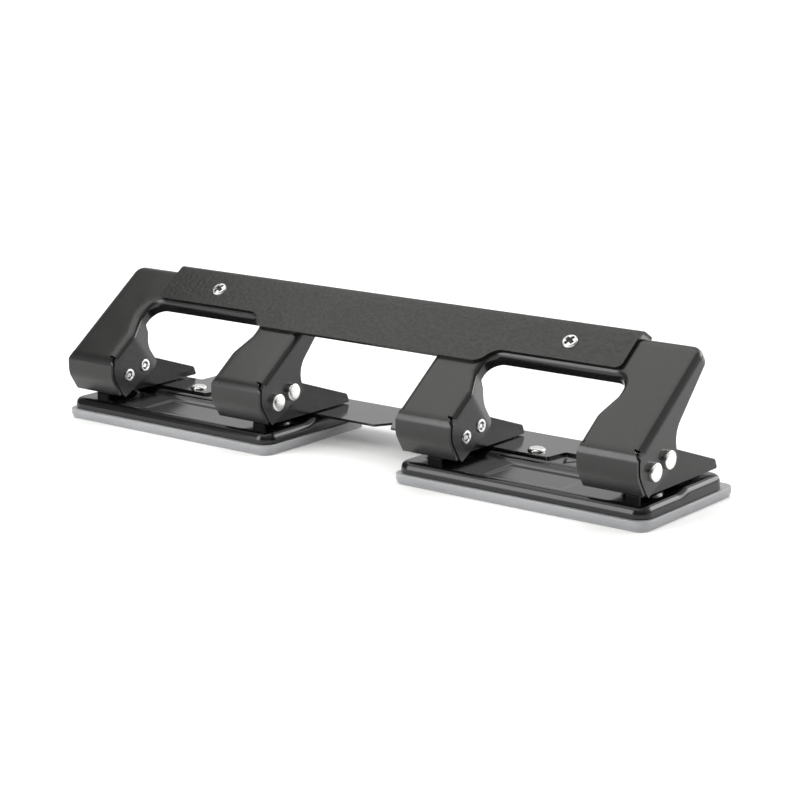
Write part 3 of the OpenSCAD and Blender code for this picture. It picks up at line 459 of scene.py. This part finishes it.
def lever_band():
    """The lever's sheet as one band that runs up the left leg, over the top and down.

    Across the band: the window's flange (straight), the rim (a quarter circle of RIM_R),
    the flat face, the outer fold (a quarter circle of FOLD_R) and the outer flange
    (straight).
    """
    a = np.linspace(0, math.pi / 2, 9)[None, :, None]
    rim_plan = rim[:, None] + rim_normal[:, None] * RIM_R * (1 - np.cos(a))
    rim_depth = np.broadcast_to(RIM_R * (1 - np.sin(a))[..., 0], rim_plan.shape[:2])
    fold_plan = outside[:, None] - out_normal[:, None] * FOLD_R * (1 - np.sin(a))
    fold_depth = np.broadcast_to(FOLD_R * (1 - np.cos(a))[..., 0], fold_plan.shape[:2])
    t = np.linspace(0, 1, FACE + 1)[None, 1:-1, None]
    flat_plan = rim_plan[:, -1:] * (1 - t) + fold_plan[:, :1] * t
    top = np.concatenate([face_points(rim_plan, rim_depth),
                          face_points(flat_plan, np.zeros(flat_plan.shape[:2])),
                          face_points(fold_plan, fold_depth)], axis=1)
    w = FLANGE_STEPS[None, :]
    edges = []
    for path, edge, radius, top_depth in ((rim, wall_edge, RIM_R, 5.3), (outside, flange_free, FOLD_R, 5)):
        over = np.arange(1, len(path) - LEG + 1)
        depth = np.concatenate([edge[:, 1], np.interp(over, [0, TURN - 1], [edge[-1, 1], top_depth])])
        s = np.concatenate([edge[:, 0], path[LEG:, 1]])
        s_at = path[:, 1:] * (1 - w) + s[:, None] * w
        d_at = radius * (1 - w) + depth[:, None] * w
        leg_x = np.interp(s_at, path[:LEG, 1], path[:LEG, 0])
        x_at = np.where(np.arange(len(path))[:, None] < LEG, leg_x, path[:, :1])
        edges.append(to_space(x_at, on_face(s_at, d_at)))
    return np.concatenate([edges[0][:, :0:-1], top, edges[1][:, 1:]], axis=1)


# How far the flanges' front edges stand behind the skirt's outside
FRONT_GAP = 1.35


def flange_fronts(x, first):
    """The part of a side flange between its front edge and the band's start.

    The front edge follows the skirt's side view at FRONT_GAP behind it; first is the
    depth at which the band's flange starts.
    """
    front = [(*on_face(BEND_START, FRONT_GAP), 0),
             (*corner_in(RIDGE, BEND, KNEE, FRONT_GAP), BEND_R - FRONT_GAP),
             (*corner_in(BEND, KNEE, SKIRT_END, FRONT_GAP), KNEE_R - FRONT_GAP),
             (*(SKIRT_END + FRONT_GAP * INWARD), 0), (*on_face(*HEEL), 0)]
    rear = np.array([on_face(BEND_START, first) * (1 - w) + on_face(*HEEL) * w for w in FLANGE_STEPS])
    picked = np.linspace(0, 199, len(rear)).astype(int)
    front = spaced(outline(front), 200)[picked]
    return to_space(x, np.stack([front * (1 - t) + rear * t for t in np.linspace(0, 1, 5)]))


def skirt_flap():
    """The skirt of the left leg: the face's strip carried round the bend and the knee.

    Its side edges follow the folds' quarter circles until they lie 0.35 inside the flanges.
    """
    side_line = outline([(*on_face(BEND_START, 0), 0), (*BEND, BEND_R), (*KNEE, KNEE_R), (*SKIRT_END, 0)],
                        steps=12)
    depth = np.clip((side_line - FOOT) @ FACE_IN, 0, None)
    fold = np.where(depth < FOLD_R, np.sqrt(np.clip(FOLD_R ** 2 - (FOLD_R - depth) ** 2, 0, None)), FOLD_R)
    rim_in = np.where(depth < RIM_R, np.sqrt(np.clip(RIM_R ** 2 - (RIM_R - depth) ** 2, 0, None)), RIM_R)
    x_out = -np.minimum(46.1 + fold, 48.75)
    x_in = -np.maximum(27.9 - rim_in, 25.65)
    t = np.linspace(0, 1, FACE + 1)
    x = x_in[:, None] * (1 - t) + x_out[:, None] * t
    return to_space(x, np.broadcast_to(side_line[:, None], (*x.shape, 2)))


def mirrored(grid):
    """The same grid on the other side of the punch's middle."""
    return grid * np.array([-1, 1, 1])


def finish_sheet(piece, thickness, round_edge=0.00018):
    """Gives a surface its sheet's thickness, inwards, and slightly rounded cut edges."""
    sheet = piece.modifiers.new("sheet", "SOLIDIFY")
    sheet.thickness, sheet.offset, sheet.use_even_offset = thickness, -1, True
    edge = piece.modifiers.new("edge", "BEVEL")
    edge.width, edge.segments = round_edge, 2
    edge.limit_method, edge.angle_limit = "ANGLE", math.radians(55)
    edge.harden_normals = True


# The screws' place up the face, which is also where the shell's outside is looked for
SCREW_S = 44.0
band = lever_band()
parts = [band, mirrored(band)]
for piece_grid in (flange_fronts(LEG_X, FOLD_R), flange_fronts(WINDOW_X, RIM_R), skirt_flap()):
    parts += [piece_grid, mirrored(piece_grid)]
for side, word in ((-1, "left"), (1, "right")):
    lever = add_piece("lever_shell_" + word, [grid + np.array([side * UNIT_X, 0, 0]) for grid in parts],
                      satin_black, "handle", ["lever_" + word], sharp=40)
    ridge_place = Vector(to_space(side * UNIT_X, on_face(SCREW_S, 0.0)) * MM)
    middle = min(lever.data.polygons, key=lambda p: (p.center - ridge_place).length)
    if middle.normal.z < 0:
        lever.data.flip_normals()
    finish_sheet(lever, SHEET * MM)

# Tie bar: a long satin black strip, folded down behind the levers' ridge and screwed
# to both levers; it is wider in the middle, between them
bar_corner = on_face(52.9, 0)
back_way = np.array([math.cos(TILT - math.radians(67.4)), math.sin(TILT - math.radians(67.4))])
back_out = np.array([-back_way[1], back_way[0]])
fold_corner = corner_in(FOOT, bar_corner, bar_corner + back_way, -SHEET)
bar_edge = outline([(-105, 38.5), (-105, 36, 2.5), (-54.6, 36, 6), (-50.7, 29.6, 6),
                    (50.7, 29.6, 6), (54.6, 36, 6), (105, 36, 2.5), (105, 38.5)], steps=12)
bar_fold = outline([(*on_face(38.5, -SHEET), 0), (*fold_corner, 2.5),
                    (*(bar_corner + 6.2 * back_way + SHEET * back_out), 0)], steps=10)
upper = np.broadcast_to(bar_fold[1:], (len(bar_edge), len(bar_fold) - 1, 2))
low_line = on_face(bar_edge[:, 1], np.full(len(bar_edge), -SHEET))
t = np.linspace(0, 1, 7)[None, :-1, None]
side_points = np.concatenate([low_line[:, None] * (1 - t) + upper[:, :1] * t, upper], axis=1)
bar_x = np.broadcast_to(bar_edge[:, :1], side_points.shape[:2])
bar = add_piece("tie_strip", [to_space(bar_x, side_points)], satin_paint("bar_black", 0.8, 0.33),
                "handle", ["tie_bar"], sharp=35)
if bar.data.polygons[0].normal.y > 0:
    bar.data.flip_normals()
finish_sheet(bar, SHEET * MM, 0.00025)

# Bright hardware: cross-head screws with nuts hold the tie bar; mushroom-headed pins
# through the legs and two dome-headed rivets hold the rest. All but the nuts are bright nickel plate.
bright_plate, tree, shader = new_material("bright_plate", (0.76, 0.76, 0.75), 0.22, 1)
drive_range(tree, add_noise(tree, 700), 0.18, 0.28, shader.inputs["Roughness"])


def turned(profile, base, axis, count=48):
    """A profile of (radius, height) turned about an axis through base."""
    axis = np.array(axis, float) / np.linalg.norm(axis)
    across = np.cross(axis, (0.0, 0.0, 1.0) if abs(axis[2]) < 0.9 else (1.0, 0.0, 0.0))
    across /= np.linalg.norm(across)
    third = np.cross(axis, across)
    a = np.linspace(0, 2 * math.pi, count + 1)
    spokes = np.cos(a)[:, None] * across + np.sin(a)[:, None] * third
    profile = np.array(profile, float)
    return np.array(base) + profile[:, :1, None] * spokes[None] + profile[:, 1:, None] * axis


# The drive pin's distance and angle from the pivot, and a pin's profile from its
# hollow end to its domed head, as (radius, place along it)
DRIVE_R, DRIVE_ANGLE = 8.86, math.radians(15.6)
drive_place = PIVOT + DRIVE_R * np.array([math.cos(DRIVE_ANGLE), math.sin(DRIVE_ANGLE)])
pin_profile = [(0, -24.0), (0.75, -23.97), (0.85, -23.85), (0.9, -23.5), (1.4, -23.5), (1.45, -24.05),
               (1.6, -24.25), (2.15, -24.3), (2.35, -24.2), (2.4, -24.05), (2.4, -23.8), (2.0, -23.8),
               (2.0, 0.0), (3.05, 0.0), (3.17, 0.06), (3.2, 0.2), (3.2, 1.45), (3.15, 1.62),
               (3.02, 1.73), (2.7, 1.83), (1.8, 1.93), (0.9, 1.98), (0, 2.0)]
for kind, place in (("pivot_pin", PIVOT), ("drive_pin", drive_place)):
    for number in (1, 2, 3, 4):
        side, hand = (-1 if number < 3 else 1), (-1 if number % 2 else 1)
        centre = (side * UNIT_X - hand * LEG_X, place[0] + HOLE_LINE, place[1])
        add_piece(f"{kind}_{number}_turned", [turned(pin_profile, centre, (hand, 0, 0))], bright_plate,
                  "handle", [f"{kind}_{number}"], sharp=38)

rivet_profile = [(0, 7.05), (1.9, 7.05), (2.25, 7.25), (2.25, 7.95), (1.8, 7.95), (1.8, 9.85),
                 (3.05, 9.85), (3.17, 9.92), (3.2, 10.05), (3.14, 10.35), (2.9, 10.68), (2.4, 10.98),
                 (1.6, 11.17), (0.8, 11.24), (0, 11.25)]
rivet_grids = [turned(rivet_profile, (side * UNIT_X - 15.2, 19.3 + HOLE_LINE, 0), (0, 0, 1))
               for side in (-1, 1)]
add_piece("table_rivets_turned", rivet_grids, bright_plate, "punch_base",
          ["table_rivets"], sharp=38)


HEAD_R = 3


def cross_head(centre, axis, up):
    """A low domed head with a cross recess, on a square grid drawn out to a disc.

    The height is a flat dome's, less 1.5 inside two crossed bars with soft edges.
    """
    axis, up = np.array(axis, float), np.array(up, float)
    across = np.cross(up, axis)
    u, v = np.meshgrid(np.linspace(-1, 1, 81), np.linspace(-1, 1, 81), indexing="ij")
    x, y = u * np.sqrt(1 - v * v / 2) * HEAD_R, v * np.sqrt(1 - u * u / 2) * HEAD_R
    r = np.hypot(x, y)
    height = 1.1 - 0.35 * np.clip(r / HEAD_R, 0, 1) ** 2 - 0.75 * np.clip((r - 2.3) / 0.7, 0, 1) ** 2.5
    bar_u = soft_step((0.8 - np.abs(x)) / 0.3) * soft_step((2.2 - np.abs(y)) / 0.5)
    bar_v = soft_step((0.8 - np.abs(y)) / 0.3) * soft_step((2.2 - np.abs(x)) / 0.5)
    height = height - 1.5 * np.maximum(bar_u, bar_v)
    return np.array(centre) + x[..., None] * across + y[..., None] * up + height[..., None] * axis


# Bright plate that darkens towards the bottom of the cross recess
face_normal = np.array([0, -FACE_IN[0], -FACE_IN[1]])
screw_plate, tree, shader = new_material("screw_plate", (0.86, 0.86, 0.85), 0.22, 1)
height = tree.nodes.new("ShaderNodeVectorMath")
height.operation = "DOT_PRODUCT"
height.inputs[1].default_value = face_normal
tree.links.new(add_noise(tree, 700).inputs["Vector"].links[0].from_socket, height.inputs[0])
# Base colour 0.06 at the bottom of the recess, rising to 0.74 at 0.6 mm above the head's base
recess_darkening = tree.nodes.new("ShaderNodeMapRange")
head_base = MM * float(face_normal @ to_space(0.0, on_face(SCREW_S, -SHEET)))
recess_darkening.inputs["From Min"].default_value = head_base - 0.0001
recess_darkening.inputs["From Max"].default_value = head_base + 0.0006
recess_darkening.inputs["To Min"].default_value = 0.06
recess_darkening.inputs["To Max"].default_value = 0.74
tree.links.new(height.outputs["Value"], recess_darkening.inputs["Value"])
tree.links.new(recess_darkening.outputs["Result"], shader.inputs["Base Color"])
screw_grids = []
for side in (-1, 1):
    centre = to_space(side * UNIT_X + 1.0, on_face(SCREW_S, -SHEET))
    turn = math.radians(30)
    screw_up = math.cos(turn) * np.array([0, *FACE_UP]) + math.sin(turn) * np.array([1.0, 0, 0])
    screw_grids += [cross_head(centre, face_normal, screw_up),
                    turned([(HEAD_R, 0), (1.5, 0), (1.5, -4.8), (0, -4.8)], centre, face_normal)]
add_piece("tie_screws_turned", screw_grids, screw_plate, "handle", ["tie_screws"],
          sharp=50)

# Cutters, clips and nuts: bare tool steel, turned and ground, with fine rings round each
# cutter. They keep the solids' shapes; the clips sit in the cutters' grooves and the nuts
# hold the screws from behind.
tool_steel, tree, shader = new_material("tool_steel", (0.62, 0.62, 0.63), 0.3, 1)
rings = add_noise(tree, 40)
stretch = tree.nodes.new("ShaderNodeMapping")
stretch.inputs["Scale"].default_value = (1, 1, 60)
tree.links.new(tree.nodes["Texture Coordinate"].outputs["Object"], stretch.inputs["Vector"])
tree.links.new(stretch.outputs["Vector"], rings.inputs["Vector"])
drive_range(tree, rings, 0.22, 0.4, shader.inputs["Roughness"])
for node in ["tie_nuts"] + [f"{name}_{k}" for name in ("cutter", "spring_clip") for k in (1, 2, 3, 4)]:
    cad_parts[node].material_slots[0].material = tool_steel

# Return springs: conical coils of round spring wire, each wound round its cutter and
# standing on the bracket's floor, that the clips press shorter as the handle goes down
COIL_STEPS = 32


def coil(centre, low, high, foot_r, top_r, wire_r, turns=3, around=12):
    """A conical coil of round wire: a circle carried along a helix.

    The helix's radius falls evenly from foot_r to top_r as it climbs from low to high; the
    circle shrinks to a point over the last rows at each end.
    """
    t = np.linspace(0, 1, turns * COIL_STEPS + 1)
    end = np.linspace(0, math.pi / 2, 4)[:-1]
    wire = wire_r * np.concatenate([np.sin(end), np.ones(len(t)), np.sin(end)[::-1]])
    t = np.concatenate([np.zeros(3), t, np.ones(3)])
    a = 2 * math.pi * turns * t[:, None]
    b = np.linspace(0, 2 * math.pi, around + 1)[None]
    r = foot_r + (top_r - foot_r) * t[:, None] + wire[:, None] * np.cos(b)
    z = low + (high - low) * t[:, None] + wire[:, None] * np.sin(b)
    return np.stack([centre[0] + r * np.cos(a), centre[1] + r * np.sin(a), z], -1)


WIRE_R, FOOT_R, TOP_R = 0.3, 5.5, 3.8
for number in (1, 2, 3, 4):
    low, high = (np.array(corner)[2] * 1000 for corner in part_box(f"return_spring_{number}"))
    centre = ((-120, -40, 40, 120)[number - 1], HOLE_LINE)
    spring = add_piece(f"return_coil_{number}",
                       [coil(centre, low + WIRE_R, high - WIRE_R, FOOT_R, TOP_R, WIRE_R)],
                       tool_steel, "punch_base", [f"return_spring_{number}"], sharp=60)
    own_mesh(spring)

# Floor: a plain white table that runs on far behind the punch, glowing softly where
# the lamps no longer reach
bpy.ops.mesh.primitive_plane_add(size=8, location=(0, 2.5, 0))
floor = bpy.context.object
floor.name = "floor"
floor_paint, tree, shader = new_material("floor_paint", (0.97, 0.97, 0.97), 0.8)
shader.inputs["Emission Color"].default_value = (1, 1, 1, 1)
reach = tree.nodes.new("ShaderNodeVectorMath")
reach.operation = "DISTANCE"
reach.inputs[1].default_value = (0, -2.5, 0)
tree.links.new(tree.nodes.new("ShaderNodeTexCoord").outputs["Object"], reach.inputs[0])
fade = tree.nodes.new("ShaderNodeMapRange")
fade.inputs["From Min"].default_value = 0.2
fade.inputs["From Max"].default_value = 1.6
fade.inputs["To Min"].default_value = 0.04
fade.inputs["To Max"].default_value = 0.75
tree.links.new(reach.outputs["Value"], fade.inputs["Value"])
tree.links.new(fade.outputs["Result"], shader.inputs["Emission Strength"])
floor.data.materials.append(floor_paint)

# Light: a room that is white behind and to the right of the punch and dim at the left, a
# wide lamp overhead for the faces, a front lamp that only the right unit's bends reflect,
# and one behind on the right
world = bpy.data.worlds.new("room")
bpy.context.scene.world = world
world.use_nodes = True
tree = world.node_tree
background = tree.nodes["Background"]
coordinates = tree.nodes.new("ShaderNodeTexCoord")


def room_patch(tree, direction, narrow, wide):
    """A soft patch of the room: 1 within an angle of a direction, 0 past a wider one."""
    lean = tree.nodes.new("ShaderNodeVectorMath")
    lean.operation = "DOT_PRODUCT"
    lean.inputs[1].default_value = Vector(direction).normalized()
    tree.links.new(coordinates.outputs["Generated"], lean.inputs[0])
    spread = tree.nodes.new("ShaderNodeMapRange")
    spread.interpolation_type = "SMOOTHSTEP"
    spread.inputs["From Min"].default_value = math.cos(math.radians(wide))
    spread.inputs["From Max"].default_value = math.cos(math.radians(narrow))
    tree.links.new(lean.outputs["Value"], spread.inputs["Value"])
    return spread.outputs["Result"]


def room_sum(tree, first, second, operation="ADD"):
    """Adds, or otherwise joins, two brightnesses of the room."""
    node = tree.nodes.new("ShaderNodeMath")
    node.operation = operation
    for socket, value in zip(node.inputs, (first, second)):
        if isinstance(value, (int, float)):
            socket.default_value = value
        else:
            tree.links.new(value, socket)
    return node.outputs["Value"]


glow = room_sum(tree, room_patch(tree, (-0.3, 1, 0.25), 25, 75), 0.65, "MULTIPLY")
glow = room_sum(tree, glow, room_sum(tree, room_patch(tree, (0.7, 0.7, 0.05), 20, 60), 0.5, "MULTIPLY"))
glow = room_sum(tree, glow, room_sum(tree, room_patch(tree, (0.3, -0.1, 1), 20, 60), 0.5, "MULTIPLY"))
glow = room_sum(tree, glow, 0.22)
tree.links.new(glow, background.inputs["Strength"])
background.inputs["Color"].default_value = (1, 1, 1, 1)


def add_light(name, place, target, size, power, color=(1, 1, 1)):
    """A rectangular area light at a place, aimed at a target."""
    data = bpy.data.lights.new(name, "AREA")
    data.color = color
    data.shape = "RECTANGLE"
    data.size, data.size_y = size
    data.energy = power
    lamp = bpy.data.objects.new(name, data)
    bpy.context.collection.objects.link(lamp)
    lamp.location = place
    lamp.rotation_euler = (Vector(target) - Vector(place)).to_track_quat("-Z", "Y").to_euler()


add_light("bend_light", (-0.52, -1.02, 0.37), (0, 0, 0.03), (0.55, 0.82), 8)
add_light("overhead_light", (-0.15, -0.14, 0.62), (-0.15, -0.14, 0), (0.9, 0.88), 3.9, (1, 1, 0.955))
add_light("rear_light", (0.556, 0.963, 0.45), (0, 0, 0.02), (0.85, 0.5), 6.2)
